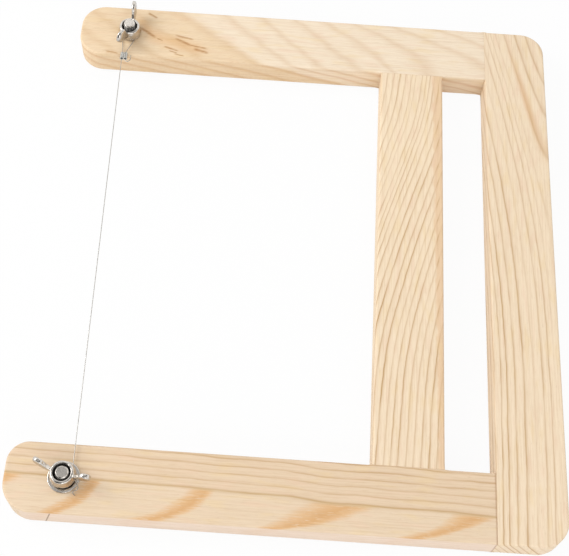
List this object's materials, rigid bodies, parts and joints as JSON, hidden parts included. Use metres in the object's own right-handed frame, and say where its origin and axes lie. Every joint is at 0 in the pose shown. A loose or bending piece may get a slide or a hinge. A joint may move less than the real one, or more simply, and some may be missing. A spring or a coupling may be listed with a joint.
{
  "type": "wire soap cutter",
  "caption": "Flat wooden hand frame that holds a taut steel wire between two wing nuts, for slicing bars of soap.",
  "frame": {"origin": "centre of the frame's outline, on its flat back face", "axes": "+X from the wire end to the back rail, along the arms; +Y along the back rail to the arm that carries the ferrule; +Z out of the face that carries the wing nuts"},
  "size_m": [0.24, 0.2706, 0.0258],
  "materials": {
    "pine_top_arm": "sanded, unfinished pale pine",
    "pine_bottom_arm": "sanded, unfinished pale pine",
    "pine_rail": "sanded, unfinished pale pine",
    "pine_bar": "sanded, unfinished pale pine",
    "beech": "plain turned dowel",
    "screw_steel": "bright zinc plate",
    "washer_steel": "bright zinc plate",
    "nut_steel": "polished nickel plate",
    "wire_steel": "bright drawn wire",
    "ferrule_aluminium": "dull bright"
  },
  "bodies": {
    "frame": {"top_arm": "pine_top_arm", "bottom_arm": "pine_bottom_arm", "back_rail": "pine_rail", "middle_bar": "pine_bar", "top_arm_dowel_1": "beech", "top_arm_dowel_2": "beech", "bottom_arm_dowel_1": "beech", "bottom_arm_dowel_2": "beech", "top_bar_dowel_1": "beech", "top_bar_dowel_2": "beech", "bottom_bar_dowel_1": "beech", "bottom_bar_dowel_2": "beech", "top_screw": "screw_steel", "bottom_screw": "screw_steel", "bottom_wood_washer": "washer_steel", "cutting_wire": "wire_steel", "wire_ferrule": "ferrule_aluminium"},
    "top_washer": {"top_clamp_washer": "washer_steel"},
    "top_nut": {"top_wing_nut": "nut_steel"},
    "bottom_washer": {"bottom_clamp_washer": "washer_steel"},
    "bottom_nut": {"bottom_wing_nut": "nut_steel"}
  },
  "joints": [
    {"name": "top_nut_rise", "type": "slide", "parent": "frame", "child": "top_washer", "axis": [0, 0, 1], "range_m": [0, 0.006]},
    {"name": "top_nut_turn", "type": "hinge", "parent": "top_washer", "child": "top_nut", "pos_m": [-0.0944, 0.11885, 0.0148], "axis": [0, 0, 1], "range_deg": [0, 2160]},
    {"name": "bottom_nut_rise", "type": "slide", "parent": "frame", "child": "bottom_washer", "axis": [0, 0, 1], "range_m": [0, 0.004]},
    {"name": "bottom_nut_turn", "type": "hinge", "parent": "bottom_washer", "child": "bottom_nut", "pos_m": [-0.0944, -0.11955, 0.0167], "axis": [0, 0, 1], "range_deg": [0, 1440]}
  ],
  "couplings": [
    {"joint": "top_nut_rise", "follows": "top_nut_turn", "m_per_rad": 0.00015915},
    {"joint": "bottom_nut_rise", "follows": "bottom_nut_turn", "m_per_rad": 0.00015915}
  ]
}
